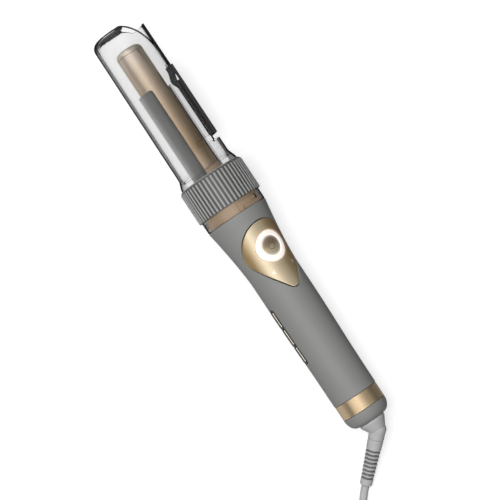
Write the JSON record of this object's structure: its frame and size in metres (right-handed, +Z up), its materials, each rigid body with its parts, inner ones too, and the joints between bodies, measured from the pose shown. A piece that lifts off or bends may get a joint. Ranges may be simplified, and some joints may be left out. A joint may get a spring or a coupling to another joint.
{
  "type": "automatic curling iron",
  "caption": "Hand-held automatic hair curler: heated barrel with turning wrap bars in a clear slotted chamber, grey handle with rocker plate, power button, side keys and a swivel mains lead.",
  "frame": {"origin": "middle of the resting iron's own outline without its lead, on the surface it lies on", "axes": "+Z up, +Y along the resting iron towards the chamber's open tip, +X towards the hair slot"},
  "size_m": [0.0982, 0.5704, 0.0566],
  "materials": {
    "soft_grey": "soft-touch satin",
    "rib_grey": "satin",
    "gold_plastic": "brushed plating",
    "gold_metal": "brushed, anodised",
    "barrel_metal": "satin, anodised",
    "bar_grey": "satin",
    "clear_plastic": "polished, clear",
    "black_plastic": "satin",
    "light": "opal, lit",
    "cord_grey": "matt",
    "steel": "plain",
    "brass": "plain",
    "board": "plain",
    "nylon": "plain",
    "ceramic": "plain"
  },
  "bodies": {
    "lead": {"swivel_stub": "cord_grey", "strain_relief": "cord_grey", "cord_lead": "cord_grey", "cord_coil": "cord_grey", "cord_tail": "cord_grey", "cord_tie": "black_plastic", "plug_body": "cord_grey", "plug_pin_1": "brass", "plug_pin_2": "brass"},
    "handle": {"front_shell": "soft_grey", "rear_cover": "soft_grey", "gold_band": "gold_metal", "cover_screw_1": "steel", "cover_screw_2": "steel", "cover_screw_3": "steel", "end_cap": "soft_grey", "swivel_retainer": "nylon", "neck_ring": "gold_plastic", "chassis": "black_plastic", "main_board": "board", "neck_cap": "black_plastic", "bearing_bush": "brass", "heater_stem": "steel", "heater_block_upper": "barrel_metal", "heater_block_lower": "barrel_metal", "heating_element": "ceramic", "gear_motor": "steel", "pivot_pin_lower": "steel", "pivot_pin_upper": "steel", "direction_switch_left": "black_plastic", "direction_switch_right": "black_plastic", "key_inlay": "black_plastic", "key_board": "board", "key_switch_1": "black_plastic", "key_switch_2": "black_plastic", "key_switch_3": "black_plastic"},
    "clear_chamber": {"chamber": "clear_plastic", "hair_guide": "black_plastic", "ribbed_ring": "rib_grey"},
    "rotor": {"turntable": "gold_plastic", "rotor_gear": "nylon", "barrel_tube": "barrel_metal", "barrel_cap": "barrel_metal", "wrap_bar_front": "bar_grey", "wrap_bar_rear": "bar_grey"},
    "pinion": {"motor_pinion": "nylon"},
    "direction_rocker": {"rocker_plate": "gold_plastic", "light_ring": "light", "light_board": "board", "power_switch": "black_plastic"},
    "power_key": {"power_button": "gold_plastic"},
    "key_1": {"side_key_1": "black_plastic"},
    "key_2": {"side_key_2": "black_plastic"},
    "key_3": {"side_key_3": "black_plastic"}
  },
  "joints": [
    {"name": "cord_swivel", "type": "hinge", "parent": "lead", "child": "handle", "pos_m": [0, -0.16949, 0.01773], "axis": [0, 0.9988, 0.0493], "continuous": true},
    {"name": "chamber_lock", "type": "hinge", "parent": "handle", "child": "clear_chamber", "pos_m": [0, 0.01689, 0.02693], "axis": [0, 0.9988, 0.0493], "range_deg": [0, 35]},
    {"name": "barrel_spin", "type": "hinge", "parent": "handle", "child": "rotor", "pos_m": [0, 0.04485, 0.02831], "axis": [0, 0.9988, 0.0493], "continuous": true},
    {"name": "pinion_spin", "type": "hinge", "parent": "handle", "child": "pinion", "pos_m": [-0.00639, 0.03046, 0.01558], "axis": [0, 0.9988, 0.0493], "continuous": true},
    {"name": "direction_rock", "type": "hinge", "parent": "handle", "child": "direction_rocker", "pos_m": [0.00657, -0.03276, 0.03685], "axis": [0, 0.9988, 0.0493], "range_deg": [-1.5, 1.5], "stiffness_Nm_per_rad": 0.8},
    {"name": "power_press", "type": "slide", "parent": "direction_rocker", "child": "power_key", "axis": [-0.4695, 0.0435, -0.8819], "range_m": [0, 0.0008], "stiffness_N_per_m": 2500},
    {"name": "key_press_1", "type": "slide", "parent": "handle", "child": "key_1", "axis": [0.9659, 0.0128, -0.2585], "range_m": [0, 0.0006], "stiffness_N_per_m": 3000},
    {"name": "key_press_2", "type": "slide", "parent": "handle", "child": "key_2", "axis": [0.9659, 0.0128, -0.2585], "range_m": [0, 0.0006], "stiffness_N_per_m": 3000},
    {"name": "key_press_3", "type": "slide", "parent": "handle", "child": "key_3", "axis": [0.9659, 0.0128, -0.2585], "range_m": [0, 0.0006], "stiffness_N_per_m": 3000}
  ],
  "couplings": [
    {"joint": "pinion_spin", "follows": "barrel_spin", "ratio": -2.4}
  ]
}
